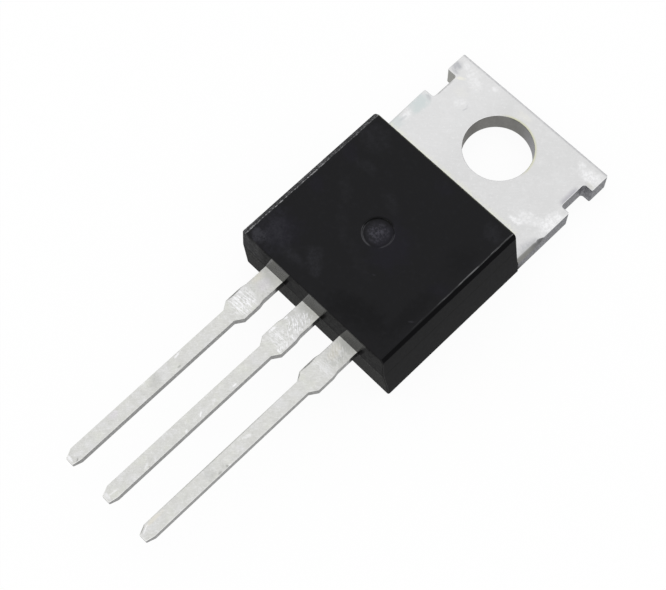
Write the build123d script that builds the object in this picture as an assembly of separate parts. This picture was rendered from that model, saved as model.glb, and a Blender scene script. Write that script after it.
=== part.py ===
from build123d import *
from math import radians, tan
import os

# A three-lead voltage regulator in a moulded power package, lying on its back.
#
# Frame: origin on the mounting face (the back), at the centre of the mounting
# hole. +Z points out of the front of the package, +Y to the far end of the tab,
# and the leads point along -Y. +X runs towards the output lead. Millimetres.
#
# What is modelled: the copper heatsink tab with the centre lead in one piece
# with it, the two side leads with their bonding posts, the die on its solder,
# three bond wires, and the epoxy body moulded round them all.

# ---- Tab: the thick part of the lead frame ----------------------------------
tab_width = 10.0
tab_thickness = 1.25
tab_reach = 6.5            # far end of the tab to the body, along the back
hole_diameter = 3.7
hole_to_end = 2.75         # centre of the hole to the far end
ear_length = 1.2           # far end to the side notch
notch_length = 1.7
notch_depth = 0.55
left_notch_extra = 0.07    # the left notch is cut this much deeper
left_notch_setback = 0.05  # and this much nearer the body
notch_radius = 0.15        # inner corners of the notches
ear_radius = 0.08          # outer corners of the ears and notches
left_shear_length = 2.6    # broken edges beside the body, where tie bars were cut off
left_shear_width = 0.2
left_shear_depth = 0.22
right_shear_length = 1.6
right_shear_width = 0.16
right_shear_depth = 0.35

# ---- Die pad: the same thick metal inside the body --------------------------
pad_width = 8.0            # bare metal on the back
lock_overhang = 0.4        # upper part of the pad is wider, so that epoxy locks under it
lock_height = 0.45         # underside of the overhang above the back
pad_end_cover = 3.2        # epoxy on the back beyond the pad
groove_width = 0.4         # moisture groove across the pad, beside the tab
groove_depth = 0.15
groove_setback = 0.7       # rear of the body to the groove

# ---- Leads: the thin part of the lead frame ---------------------------------
lead_pitch = 2.54
lead_thickness = 0.5
lead_rise = 2.25           # underside of the leads above the back
lead_length = 13.2         # body to tip
lead_width = 0.76
shoulder_width = 1.2       # wide part of the lead next to the body
stub_width = 1.32          # shoulder where the dam bar was trimmed off
stub_start = 1.3           # distances from the body along the lead
stub_ramp = 0.3
stub_end = 2.6
taper_length = 0.42        # stub down to the narrow lead
tip_width = 0.46
tip_length = 0.45
tip_bevel = 0.2            # height of the bevel on top of the tip

# ---- Down-set of the centre lead, from the pad up to the lead plane ---------
downset_foot = 0.6         # flat run in front of the pad before the bend
downset_run = 1.2          # length of the slope along the lead
downset_radius = 0.5       # on the centreline of the strip
strip_lap = 0.5            # length of strip inside the pad, and of lead inside the body

# ---- Bonding posts: inner ends of the side leads ----------------------------
post_width = 2.1
post_length = 1.4
post_setback = 1.1         # front of the body to the post
post_offset = 0.15         # post sits further out than its lead
post_radius = 0.2
post_bite_radius = 0.28    # half-round bite that locks the post in the epoxy

# ---- Die, solder and bond wires ---------------------------------------------
die_width = 2.4
die_length = 2.0
die_thickness = 0.3
die_setback = 0.7          # front edge of the bare pad to the die
solder_thickness = 0.05
solder_margin = 0.12       # solder beyond the die on every side
wire_diameter = 0.2
wire_loop_height = 0.55    # centreline of a loop above the higher of its bonds
wire_rise_share = 0.25     # share of the span over which a loop climbs, and drops again
wire_bend_radius = 0.4
bond_diameter = 0.45       # ball at each end of a wire
bond_height = 0.12
bond_inset = 0.45          # bond on the die, in from the die's edges
ground_bond_reach = 0.9    # edge of the die to the ground bond on the pad

# ---- Moulded body -----------------------------------------------------------
body_length = 9.27         # along the back
body_width = 10.1          # across the back
body_thickness = 4.5
right_draft = 3.5          # degrees
left_draft = 4.2
rear_draft = 5.5
front_draft_below = 4.9    # below the parting line
front_draft_above = 0.7
right_bevel_width = 0.17   # bevels along the two long top edges
right_bevel_height = 0.26
left_bevel_width = 0.3
left_bevel_height = 0.3
corner_radius = 0.1        # upright corners
front_left_radius = 0.2
mark_diameter = 1.55       # round ejector mark in the top face
mark_depth = 0.07

# ---- Worked-out places ------------------------------------------------------
tab_end_y = hole_to_end
notch_y = tab_end_y - ear_length - notch_length / 2
body_rear_y = tab_end_y - tab_reach
body_front_y = body_rear_y - body_length
lead_top = lead_rise + lead_thickness
crest_y = body_front_y - lead_top * tan(radians(front_draft_below))
body_top_front_y = crest_y + (body_thickness - lead_top) * tan(radians(front_draft_above))
body_top_rear_y = body_rear_y - body_thickness * tan(radians(rear_draft))
pad_end_y = body_front_y + pad_end_cover
pad_lip_y = pad_end_y - lock_overhang
die_y = pad_end_y + die_setback + die_length / 2
solder_top = tab_thickness + solder_thickness
die_top = solder_top + die_thickness
lead_root_y = crest_y + strip_lap
tip_y = crest_y - lead_length
post_y = crest_y + post_setback + post_length / 2
tolerance = 1e-4


def rear_y(z):
    """Place of the body's drafted rear face at height z."""
    return body_rear_y - z * tan(radians(rear_draft))


def prism_across(points, half_width):
    """Prism across the part, centred on X = 0, from an outline in Y and Z."""
    face = make_face(Polyline(*[(0, y, z) for y, z in points], close=True))
    return extrude(face, amount=half_width, dir=(1, 0, 0), both=True)


def plate(outline, bottom, top):
    """Flat plate from an outline in X and Y, between two heights."""
    return extrude(Pos(0, 0, bottom) * outline, amount=top - bottom, dir=(0, 0, 1))


def block(width, y_low, y_high, bottom, top):
    """Box centred on X = 0, between two places in Y and two heights."""
    size = Box(width, y_high - y_low, top - bottom)
    return Pos(0, (y_low + y_high) / 2, (bottom + top) / 2) * size


# ---- Tab and centre lead ----------------------------------------------------
def tab_plan():
    """Outline of the bare tab, with its ears and side notches."""
    inner_y = rear_y(tab_thickness)
    plan = Rectangle(tab_width, tab_end_y - inner_y)
    plan = Pos(0, (tab_end_y + inner_y) / 2) * plan
    for side, depth, y in (
        (-1, notch_depth + left_notch_extra, notch_y - left_notch_setback),
        (1, notch_depth, notch_y),
    ):
        notch = Rectangle(2 * depth, notch_length)
        plan -= Pos(side * tab_width / 2, y) * notch
    edge_x = tab_width / 2 - tolerance
    notch_corners = [v for v in plan.vertices() if abs(v.X) < edge_x]
    plan = fillet(notch_corners, notch_radius)
    ear_corners = [v for v in plan.vertices() if abs(v.X) > edge_x and v.Y > inner_y + tolerance]
    return fillet(ear_corners, ear_radius)


def sheared_edge(side, length, width, depth):
    """Wedge broken off one top edge of the tab beside the body."""
    edge_x = side * tab_width / 2
    outside_x = edge_x + side * width
    section = Polyline(
        (edge_x - side * width, 0, tab_thickness),
        (outside_x, 0, tab_thickness + depth),
        (outside_x, 0, tab_thickness - depth),
        (edge_x, 0, tab_thickness - depth),
        close=True,
    )
    wedge = extrude(make_face(section), amount=2 * length, dir=(0, -1, 0))
    return Pos(0, body_rear_y + length, 0) * wedge


def bare_tab():
    """The tab outside the body; its inner end follows the body's draft."""
    against_body = [
        (tab_end_y, 0),
        (tab_end_y, tab_thickness),
        (rear_y(tab_thickness), tab_thickness),
        (rear_y(0), 0),
    ]
    tab = plate(tab_plan(), 0, tab_thickness) & prism_across(against_body, tab_width)
    tab -= sheared_edge(-1, left_shear_length, left_shear_width, left_shear_depth)
    tab -= sheared_edge(1, right_shear_length, right_shear_width, right_shear_depth)
    return tab - Cylinder(hole_diameter / 2, 2 * tab_thickness)


def die_pad():
    """The thick metal inside the body, wider above so that it locks in."""
    join_y = body_rear_y + strip_lap
    lock_width = pad_width + 2 * lock_overhang
    pad = block(pad_width, pad_end_y, join_y, 0, tab_thickness)
    pad += block(lock_width, pad_lip_y, join_y, lock_height, tab_thickness)
    groove_y = rear_y(tab_thickness) - groove_setback
    groove = [
        (groove_y - groove_width / 2, tab_thickness),
        (groove_y, tab_thickness - groove_depth),
        (groove_y + groove_width / 2, tab_thickness),
    ]
    return pad - prism_across(groove, lock_width)


def downset():
    """Strip that climbs from the top of the pad to the plane of the leads."""
    low = tab_thickness - lead_thickness / 2
    high = lead_rise + lead_thickness / 2
    bend_y = pad_lip_y - downset_foot
    path = FilletPolyline(
        (0, pad_lip_y + strip_lap, low),
        (0, bend_y, low),
        (0, bend_y - downset_run, high),
        (0, lead_root_y, high),
        radius=downset_radius,
    )
    start = Plane(path @ 0, x_dir=(1, 0, 0), z_dir=(0, -1, 0))
    return sweep(start * Rectangle(shoulder_width, lead_thickness), path=path)


def outer_lead(inner_y):
    """A lead about X = 0, from a place inside the body to its bevelled tip."""
    stations = [
        (inner_y, shoulder_width),
        (crest_y - stub_start, shoulder_width),
        (crest_y - stub_start - stub_ramp, stub_width),
        (crest_y - stub_end, stub_width),
        (crest_y - stub_end - taper_length, lead_width),
        (tip_y + tip_length, lead_width),
        (tip_y, tip_width),
    ]
    right = [(width / 2, y) for y, width in stations]
    left = [(-x, y) for x, y in reversed(right)]
    lead = plate(make_face(Polyline(*right, *left, close=True)), lead_rise, lead_top)
    above_tip = [
        (tip_y + tip_length, lead_top),
        (tip_y, lead_top - tip_bevel),
        (tip_y, lead_top),
    ]
    return lead - prism_across(above_tip, lead_width)


def heatsink_tab():
    """Tab, die pad and centre lead: one piece of copper."""
    return bare_tab() + die_pad() + downset() + outer_lead(lead_root_y)


# ---- Side leads -------------------------------------------------------------
def side_lead(side):
    """Side lead with its bonding post; side is -1 for input, 1 for output."""
    lead_x = side * lead_pitch
    post_x = lead_x + side * post_offset
    post = Rectangle(post_width, post_length)
    post = Pos(post_x, post_y) * fillet(post.vertices(), post_radius)
    post -= Pos(post_x + side * post_width / 2, post_y) * Circle(post_bite_radius)
    return Pos(lead_x, 0, 0) * outer_lead(post_y) + plate(post, lead_rise, lead_top)


# ---- Die and bond wires -----------------------------------------------------
def die_solder():
    """Layer of solder under the die."""
    half = die_length / 2 + solder_margin
    width = die_width + 2 * solder_margin
    return block(width, die_y - half, die_y + half, tab_thickness, solder_top)


def silicon_die():
    """The regulator chip."""
    half = die_length / 2
    return block(die_width, die_y - half, die_y + half, solder_top, die_top)


def bond_wire(start, end):
    """Wire looped between two bonds, each a low ball seated on its surface."""
    start, end = Vector(start), Vector(end)
    ball = Vector(0, 0, bond_height)
    loop_z = max(start.Z, end.Z) + wire_loop_height
    rise = start + (end - start) * wire_rise_share
    fall = end + (start - end) * wire_rise_share
    path = FilletPolyline(
        start + ball,
        (rise.X, rise.Y, loop_z),
        (fall.X, fall.Y, loop_z),
        end + ball,
        radius=wire_bend_radius,
    )
    wire = sweep(Plane(path @ 0, z_dir=path % 0) * Circle(wire_diameter / 2), path=path)
    for bond in (start, end):
        wire += Pos(bond + ball / 2) * Cylinder(bond_diameter / 2, bond_height)
    return wire


def die_bond(side, end):
    """Bond place on the die; side is -1, 0 or 1 in X, end is -1 or 1 in Y."""
    x = side * (die_width / 2 - bond_inset)
    y = die_y + end * (die_length / 2 - bond_inset)
    return (x, y, die_top)


def post_bond(side):
    """Bond place on a side lead's post."""
    return (side * lead_pitch, post_y, lead_top)


def ground_bond():
    """Bond place on the pad, behind the die."""
    return (0, die_y + die_length / 2 + ground_bond_reach, tab_thickness)


# ---- Body -------------------------------------------------------------------
def body_form():
    """Outer form of the moulding: draft, parting line, bevels, upright corners."""
    lengthwise = prism_across(
        [
            (body_rear_y, 0),
            (body_top_rear_y, body_thickness),
            (body_top_front_y, body_thickness),
            (crest_y, lead_top),
            (body_front_y, 0),
        ],
        body_width,
    )
    right = side_profile(right_draft, right_bevel_width, right_bevel_height)
    left = side_profile(left_draft, left_bevel_width, left_bevel_height)
    outline = right + [(-x, z) for x, z in reversed(left)]
    section = make_face(Polyline(*[(x, 0, z) for x, z in outline], close=True))
    reach = tab_reach + body_length
    form = lengthwise & extrude(section, amount=reach, dir=(0, 1, 0), both=True)
    form = fillet(upright_corners(form, in_front_left=True), front_left_radius)
    return fillet(upright_corners(form, in_front_left=False), corner_radius)


def side_profile(draft, bevel_width, bevel_height):
    """Section of one side, as distances from the middle and heights, from the back up."""
    shoulder_z = body_thickness - bevel_height
    shoulder_x = body_width / 2 - shoulder_z * tan(radians(draft))
    return [
        (body_width / 2, 0),
        (shoulder_x, shoulder_z),
        (shoulder_x - bevel_width, body_thickness),
    ]


def upright_corners(form, in_front_left):
    """Edges that climb and end below the top face: the front left corner's, or the others."""
    found = []
    for edge in form.edges():
        low, high = sorted((edge.start_point().Z, edge.end_point().Z))
        middle = edge.center()
        is_upright = high - low > tolerance and high < body_thickness - tolerance
        is_front_left = middle.X < 0 and middle.Y < body_front_y + body_length / 2
        if is_upright and is_front_left == in_front_left:
            found.append(edge)
    return found


def ejector_mark():
    """Shallow round recess in the middle of the top face."""
    middle_y = (body_top_rear_y + body_top_front_y) / 2
    return Pos(0, middle_y, body_thickness) * Cylinder(mark_diameter / 2, 2 * mark_depth)


def moulded_body(inner_pieces):
    """Epoxy body, shaped round everything it holds."""
    body = body_form() - ejector_mark()
    for piece in inner_pieces:
        body -= piece
    return body


# ---- Build and write --------------------------------------------------------
held = {
    "heatsink_tab": heatsink_tab(),
    "input_lead": side_lead(-1),
    "output_lead": side_lead(1),
    "die_solder": die_solder(),
    "silicon_die": silicon_die(),
    "input_wire": bond_wire(die_bond(-1, -1), post_bond(-1)),
    "output_wire": bond_wire(die_bond(1, -1), post_bond(1)),
    "ground_wire": bond_wire(die_bond(0, 1), ground_bond()),
}
nodes = dict(held)
nodes["moulded_body"] = moulded_body(held.values())

os.makedirs("parts", exist_ok=True)
for name, shape in nodes.items():
    export_step(shape, f"parts/{name}.step")
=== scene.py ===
"""A three-lead voltage regulator: tinned tab and leads, black epoxy body, sealed inner parts."""

from math import cos, radians, sin

import bmesh
import bpy
from mathutils import Matrix, Vector


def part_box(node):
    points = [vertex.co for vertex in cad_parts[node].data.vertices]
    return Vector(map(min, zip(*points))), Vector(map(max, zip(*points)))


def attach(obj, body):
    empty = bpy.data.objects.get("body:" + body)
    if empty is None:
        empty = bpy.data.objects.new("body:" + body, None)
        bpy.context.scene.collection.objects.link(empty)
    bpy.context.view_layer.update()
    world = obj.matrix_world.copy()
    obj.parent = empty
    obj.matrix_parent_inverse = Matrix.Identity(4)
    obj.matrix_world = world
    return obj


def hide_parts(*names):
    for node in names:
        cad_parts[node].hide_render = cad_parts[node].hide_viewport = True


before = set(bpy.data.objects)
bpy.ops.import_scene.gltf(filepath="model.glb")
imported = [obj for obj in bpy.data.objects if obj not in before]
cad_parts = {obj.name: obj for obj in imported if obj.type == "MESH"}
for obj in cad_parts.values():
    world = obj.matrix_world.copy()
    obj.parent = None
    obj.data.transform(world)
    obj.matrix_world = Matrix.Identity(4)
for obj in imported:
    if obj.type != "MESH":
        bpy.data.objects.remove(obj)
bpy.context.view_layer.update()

bl_info = {
    "name": "Voltage regulator",
    "version": (1, 0, 0),
    "blender": (4, 5, 0),
    "location": "View3D > Sidebar > Regulator",
    "description": "Dresses a three-lead voltage regulator in tinned copper and black epoxy",
    "category": "Object",
}

MM = 0.001
BODY = "root"
CLOSE = 1e-3 * MM             # two corners nearer than this are one corner
FLAT_ANGLE = radians(0.6)     # faces closer in direction than this are one face
CREASE_ANGLE = radians(34)    # edges sharper than this are creases
RING_CUTS = 3                 # cuts across each facet of a round wall
BEVEL_SEGMENTS = 3            # steps of a rounded edge
ANY_HEIGHT = 1000.0           # a mark reaches this far up and down, in millimetres

# Places of the pieces, from the frame.
tab_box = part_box("heatsink_tab")
body_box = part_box("moulded_body")
lead_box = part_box("input_lead")

TAB_TOP = 1.25 * MM
TAB_END = tab_box[1].y
TAB_HALF_WIDTH = 5.0 * MM
HOLE_RADIUS = 1.85 * MM
BODY_TOP = body_box[1].z
BODY_FRONT = body_box[0].y
BODY_REAR = body_box[1].y
BODY_REAR_TOP = BODY_REAR - 0.45 * MM
MARK_DEPTH = 0.07 * MM
MARK_RIM_RADIUS = 0.012 * MM          # rounding of the mark's rim
TOP_EDGE_DEPTH = 0.35 * MM            # the crisp edges round the top are within this of it
LEAD_TOP = lead_box[1].z
LEAD_CUT = BODY_FRONT - 0.01 * MM     # just outside the body: the leads have round edges from here
STUB_START = -14.2 * MM               # trimmed stubs of the dam bar
STUB_END = -16.5 * MM
UPRIGHT_SHARE = 0.3                   # of the rounding, on the tab's upright corners

# Broken edges of the tab beside the body: the end of each in the CAD, how far it is drawn
# out past that, and the torn places as distances short of the end and shares of the depth.
LEFT_BREAK_END = BODY_REAR + 2.6 * MM
LEFT_BREAK_RUN = 0.75 * MM
RIGHT_BREAK_END = BODY_REAR + 1.6 * MM
RIGHT_BREAK_RUN = 0.12 * MM
RIGHT_BREAK_TORN = ((0.08 * MM, 0.7), (0.2 * MM, 0.95), (0.34 * MM, 0.7), (0.5 * MM, 0.9))
BREAK_END_DEPTH = 0.06                # share of the depth that is left at the end
BREAK_WIDTH = 0.4 * MM                # no break reaches further in from the side
BREAK_DEPTH = 0.5 * MM                # or further down from the top

# Places that the finishes go by, in millimetres.
LEAD_CENTRES = (-2.54, 0.0, 2.54)
MARK_CENTRE = (0.0, -8.71)
MARK_RADIUS = 0.8
LEFT_TOP_EDGE = -4.44
RIGHT_TOP_EDGE = 4.6
REAR_TOP_EDGE = -4.2
PARTING_Z = 2.75
# Slant of the painted reflection strips on the front wall.
MIRROR_SLANT = 0.3      # sideways shift of a lead's mirror image for each step up the wall

FLOOR_GAP = 0.002 * MM                # between the part and the floor
LAMP_TARGET = Vector((0, -10 * MM, 0))
LAMP_OFFSET = Vector((-0.12, 0.11, 0.27))


def linear(red, green, blue):
    """A display colour, 0 to 255, as the linear colour that the shaders take."""
    def channel(value):
        share = value / 255
        return share / 12.92 if share <= 0.04045 else ((share + 0.055) / 1.055) ** 2.4
    return (channel(red), channel(green), channel(blue), 1.0)


# ---- Settings that a user would change --------------------------------------
def length(name, description, default):
    """A length property, in metres."""
    return bpy.props.FloatProperty(
        name=name, description=description, default=default, precision=5, unit="LENGTH"
    )


def angle(name, description, default):
    """An angle property; its default is given in degrees."""
    return bpy.props.FloatProperty(
        name=name, description=description, default=radians(default), unit="ROTATION"
    )


def number(name, description, default):
    """A plain number."""
    return bpy.props.FloatProperty(name=name, description=description, default=default)


def share(name, description, default):
    """A share, from 0 to 1."""
    return bpy.props.FloatProperty(
        name=name, description=description, default=default, min=0.0, max=1.0, subtype="FACTOR"
    )


def colour(name, description, default):
    """A colour property; its default is a display colour, 0 to 255."""
    return bpy.props.FloatVectorProperty(
        name=name, description=description, default=linear(*default), size=4,
        min=0.0, max=1.0, subtype="COLOR",
    )


class RegulatorMetal(bpy.types.PropertyGroup):
    """Tinned copper of the tab and the leads."""

    tab_colour: colour("Tab", "Tinned faces of the tab", (206, 206, 206))
    tab_worn: colour("Tab, rubbed", "Whiter places on the tab", (232, 232, 233))
    tab_dull: colour("Tab, smeared", "Greyer places on the tab", (180, 181, 184))
    # Darker than the faces partly as sheared metal, partly as painted shade.
    tab_side: colour("Tab side", "Stamped sides of the tab", (112, 112, 116))
    bore_colour: colour("Bore", "Wall of the mounting hole", (137, 136, 133))
    lead_colour: colour("Lead", "Flat faces of the leads", (203, 203, 200))
    lead_dull: colour("Lead, dull", "Greyer places on the leads", (168, 169, 165))
    lead_bright: colour("Lead, scratched", "Bright scratches on the leads", (240, 240, 242))
    # Darker than the faces partly as sheared metal, partly as painted shade.
    lead_side: colour("Lead side", "Stamped sides of the leads", (114, 114, 113))
    stub_radius: length("Stub radius", "Radius on the trimmed stubs of the dam bar", 0.11 * MM)
    rounding: length("Rounding", "Radius on the stamped edges", 0.03 * MM)
    roughness: share("Roughness", "Roughness of the tin", 0.32)


class RegulatorEpoxy(bpy.types.PropertyGroup):
    """Black moulding compound of the body."""

    top_colour: colour("Top", "Top face of the body", (22, 22, 24))
    top_scuffed: colour("Top, scuffed", "Paler places on the top face", (50, 50, 55))
    wall_colour: colour("Walls", "Drafted walls of the body", (24, 24, 25))
    # Painted shade: the right top bevel is dark and matt.
    bevel_shade_colour: colour("Bevel", "Bevel along the right top edge", (20, 20, 21))
    # Pale rubbed wear, also used for painted highlight lines along the top edges.
    rubbed_and_highlight_colour: colour("Rubbed edge", "Edges rubbed pale", (176, 176, 178))
    edge_radius: length("Edge radius", "Radius on the crisp edges", 0.025 * MM)
    worn_radius: length("Worn edge radius", "Radius on the left and front top edges", 0.1 * MM)


class RegulatorStage(bpy.types.PropertyGroup):
    """Camera, lamps and floor."""

    camera_azimuth: angle("Camera azimuth", "Turn of the camera round the part", 47.88)
    camera_elevation: angle("Camera elevation", "Height of the camera above the horizon", 68.08)
    camera_roll: angle("Camera roll", "Turn of the camera about its own axis", -2.67)
    camera_distance: length("Camera distance", "Camera to the point it looks at", 77.42 * MM)
    aim_x: length("Aim X", "Point looked at", 0.093 * MM)
    aim_y: length("Aim Y", "Point looked at", -11.871 * MM)
    aim_z: length("Aim Z", "Point looked at", 2.25 * MM)
    focal_length: number("Focal length", "Lens, in millimetres", 86.49)
    floor_size: length("Floor size", "Side of the square floor", 600 * MM)
    floor_colour: colour("Floor", "Pale floor", (226, 226, 226))
    background: share("Background", "How far the floor is lifted to white for the eye", 0.94)
    key_power: number("Key lamp", "Power of the large lamp, in watts", 0.16)
    key_size: length("Key lamp size", "Side of the square lamp", 600 * MM)
    world_strength: number("Room light", "Strength of the even light", 0.9)


# ---- Writing materials ------------------------------------------------------
class Value:
    """An output of a node, usable in arithmetic: each operation adds one Math node."""

    def __init__(self, finish, socket):
        self.finish = finish
        self.socket = socket

    def math(self, operation, *others):
        sockets = dict(enumerate((self, *others)))
        return self.finish.node("ShaderNodeMath", {"operation": operation}, sockets)

    def __add__(self, other):
        return self.math("ADD", other)

    def __radd__(self, other):
        return self.math("ADD", other)

    def __sub__(self, other):
        return self.math("SUBTRACT", other)

    def __rsub__(self, other):
        return self.finish.node("ShaderNodeMath", {"operation": "SUBTRACT"}, {0: other, 1: self})

    def __mul__(self, other):
        return self.math("MULTIPLY", other)

    def __rmul__(self, other):
        return self.math("MULTIPLY", other)

    def __pow__(self, other):
        return self.math("POWER", other)

    def __abs__(self):
        return self.math("ABSOLUTE")

    def __or__(self, other):
        return self.math("MAXIMUM", other)


class Finish:
    """One node-based material, written by name."""

    def __init__(self, name):
        self.material = bpy.data.materials.new(name)
        self.material.use_nodes = True
        self.tree = self.material.node_tree
        self.tree.nodes.clear()

    def node(self, kind, settings=None, sockets=None, output=0):
        """Adds a node: its settings first, then the values or links of its sockets."""
        made = self.tree.nodes.new(kind)
        for name, value in (settings or {}).items():
            setattr(made, name, value)
        for key, value in (sockets or {}).items():
            if isinstance(value, Value):
                self.tree.links.new(value.socket, made.inputs[key])
            else:
                made.inputs[key].default_value = value
        return Value(self, made.outputs[output]) if made.outputs else None

    def millimetres(self):
        """Place on the piece, in millimetres."""
        metres = self.node("ShaderNodeTexCoord", output="Object")
        sockets = {0: metres, "Scale": 1 / MM}
        return self.node("ShaderNodeVectorMath", {"operation": "SCALE"}, sockets)

    def noise(self, vector, scale, detail=3.0, roughness=0.55):
        """Cloudy pattern from 0 to 1."""
        sockets = {"Vector": vector, "Scale": scale, "Detail": detail, "Roughness": roughness}
        return self.node("ShaderNodeTexNoise", None, sockets)

    def fade(self, value, low, high):
        """Smooth step: 0 at low, 1 at high, which may be the smaller of the two."""
        flip = low > high
        ends = {0: value, 1: min(low, high), 2: max(low, high), 3: float(flip), 4: float(not flip)}
        return self.node("ShaderNodeMapRange", {"interpolation_type": "SMOOTHSTEP"}, ends)

    def band(self, value, low, high, soft):
        """1 between low and high, fading out over a soft width outside."""
        return self.fade(value, low - soft, low) * self.fade(value, high + soft, high)

    def mix(self, factor, first, second):
        """A colour between two colours."""
        sockets = {0: factor, 6: first, 7: second}
        return self.node("ShaderNodeMix", {"data_type": "RGBA"}, sockets, 2)

    def bump(self, height, depth, strength):
        """Surface relief of a depth in metres."""
        sockets = {"Strength": strength, "Distance": depth, "Height": height}
        return self.node("ShaderNodeBump", None, sockets, "Normal")

    def shade(self, **sockets):
        """A Principled shader; a socket's name is written with _ for each space."""
        named = {key.replace("_", " "): value for key, value in sockets.items()}
        return self.node("ShaderNodeBsdfPrincipled", None, named)

    def mix_shaders(self, factor, first, second):
        """A shader between two shaders."""
        return self.node("ShaderNodeMixShader", None, {0: factor, 1: first, 2: second})

    def done(self, shader):
        """Sends the shader to the output and gives the finished material."""
        self.node("ShaderNodeOutputMaterial", None, {"Surface": shader})
        return self.material


class SurfaceFinish(Finish):
    """A finish that changes over its piece: with place, direction and two sizes of noise."""

    def __init__(self, name, mottle_scale, grain_scale):
        super().__init__(name)
        self.place = self.millimetres()
        self.x, self.y, self.z = self.axes(self.place)
        self.nx, self.ny, self.nz = self.axes(self.node("ShaderNodeTexCoord", output="Normal"))
        self.mottle = self.noise(self.place, mottle_scale, 4.0, 0.65)
        self.grain = self.noise(self.place, grain_scale, 3.0, 0.7)

    def axes(self, vector):
        """The X, Y and Z of a vector."""
        return [self.node("ShaderNodeSeparateXYZ", None, {0: vector}, axis) for axis in range(3)]

    def local(self, centre=(0, 0, 0), turn=0.0, scale=(1, 1, 1)):
        """The place from a centre, turned back by an angle in degrees, in units of a scale."""
        rotation = (0, 0, radians(turn))
        sockets = {0: self.place, "Location": centre, "Rotation": rotation, "Scale": scale}
        return self.node("ShaderNodeMapping", {"vector_type": "TEXTURE"}, sockets)

    def streaks(self, turn, along, across):
        """Fine lines that run at an angle: stretched noise, from 0 to 1."""
        return self.noise(self.local(turn=turn, scale=(along, across, 1.0)), 1.0, 2.0, 0.6)

    def ragged(self, scale, detail, roughness, reach):
        """Noise about 0 that breaks up the edges of marks."""
        return (self.noise(self.place, scale, detail, roughness) - 0.5) * reach

    def marks(self, edge, marks):
        """Patches seen from above, 1 inside, with their edges moved about by a noise."""
        found = 0.0
        for centre, half_size, turn, strength in marks:
            local = self.local((*centre, 0.0), turn, (*half_size, ANY_HEIGHT))
            reach = self.node("ShaderNodeVectorMath", {"operation": "LENGTH"}, {0: local}, "Value")
            found = (self.fade(reach + edge, 1.25, 0.35) * strength) | found
        return found


def any_of(masks):
    """Where any of the masks is."""
    total = masks[0]
    for mask in masks[1:]:
        total = total | mask
    return total


# ---- Marks on the metal and the epoxy ---------------------------------------
# Each mark is a patch seen from above: its centre and half size in millimetres,
# its turn in degrees and its strength.
TAB_RUBBED = (
    ((4.4, 2.1), (0.75, 0.38), 15, 0.9),      # right ear
    ((3.7, 2.25), (0.3, 0.2), 0, 0.6),
    ((4.72, -1.2), (0.4, 0.95), -4, 1.0),     # right strip
    ((3.8, -1.8), (0.9, 0.4), 20, 0.6),
    ((3.4, -2.3), (0.45, 0.22), 15, 0.9),
    ((-3.6, 2.0), (0.9, 0.4), -35, 0.55),     # left ear
    ((-2.45, 2.35), (0.2, 0.16), 0, 0.7),
    ((-4.4, 2.3), (0.3, 0.22), -20, 0.6),
    ((-3.2, 0.55), (0.4, 0.35), 30, 0.4),
    ((-4.65, -1.95), (0.22, 0.4), 10, 0.8),
)
TAB_SMEARED = (
    ((-4.78, 1.98), (0.3, 0.34), 8, 1.1),     # left ear
    ((-4.65, 1.68), (0.3, 0.13), 0, 0.9),
    ((-4.62, -2.2), (0.1, 0.3), -6, 0.5),     # left strip
    ((-4.55, -0.38), (0.22, 0.13), -15, 0.7),
    ((-2.72, 0.45), (0.05, 0.2), -14, 0.55),  # scratch
    ((-2.78, 0.62), (0.04, 0.1), 30, 0.4),
    ((4.7, 1.66), (0.3, 0.12), 0, 0.6),       # right ear
    ((4.85, -2.95), (0.4, 0.75), -12, 0.8),   # beside the body
)
TAB_BLUISH = (
    ((-4.65, -0.95), (0.45, 0.75), 10, 0.9),
    ((-4.75, -2.6), (0.4, 0.6), 0, 0.6),
)
# Cream tints; the marks at the two notch corners are painted highlights.
TAB_CREAM_AND_HIGHLIGHTS = (
    ((-4.15, 1.55), (0.3, 0.12), 35, 0.8),
    ((-3.6, 0.95), (0.5, 0.35), 0, 0.15),
    ((4.72, 1.68), (0.25, 0.12), 0, 0.7),
    ((-0.3, 2.25), (0.5, 0.22), 0, 0.3),
)
TAB_ALONG_WALL = (((4.17, -3.6), (0.6, 0.05), -30.5, 0.9),)

# The marks at the roots are painted shade beside the body; the others are dull places and nicks.
LEAD_DULL_AND_ROOT_SHADE = (
    ((2.6, -13.9), (0.6, 0.9), 0, 0.45),       # roots
    ((2.6, -13.4), (0.6, 0.4), 0, 0.8),
    ((0.1, -13.55), (0.6, 0.3), 0, 0.4),
    ((-2.6, -13.6), (0.6, 0.3), 0, 0.3),
    ((2.88, -21.42), (0.12, 0.08), 0, 1.0),    # nicks
    ((2.86, -21.9), (0.08, 0.12), 0, 0.8),
    ((-2.3, -19.7), (0.06, 0.12), 0, 0.8),
    ((0.35, -24.0), (0.06, 0.06), 0, 0.8),
    ((-2.55, -21.0), (0.35, 0.5), 40, 0.35),
    ((2.6, -22.3), (0.4, 0.3), 0, 0.3),
)
LEAD_WARM = (
    ((2.35, -14.0), (0.3, 0.5), 20, 0.7),
    ((-3.0, -13.95), (0.25, 0.4), 0, 0.6),
    ((2.3, -25.5), (0.12, 0.6), 0, 0.8),
)
LEAD_PURPLISH = (
    ((-2.5, -14.0), (0.4, 0.4), 0, 0.6),
    ((-2.7, -23.5), (0.2, 0.3), 0, 0.6),
)
LEAD_SCRATCHED_ACROSS = (
    ((-2.56, -15.3), (0.7, 0.65), 0, 1.0),
    ((0.0, -15.4), (0.7, 0.6), 0, 0.5),
    ((2.5, -15.0), (0.7, 0.35), 0, 0.35),
)
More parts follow.
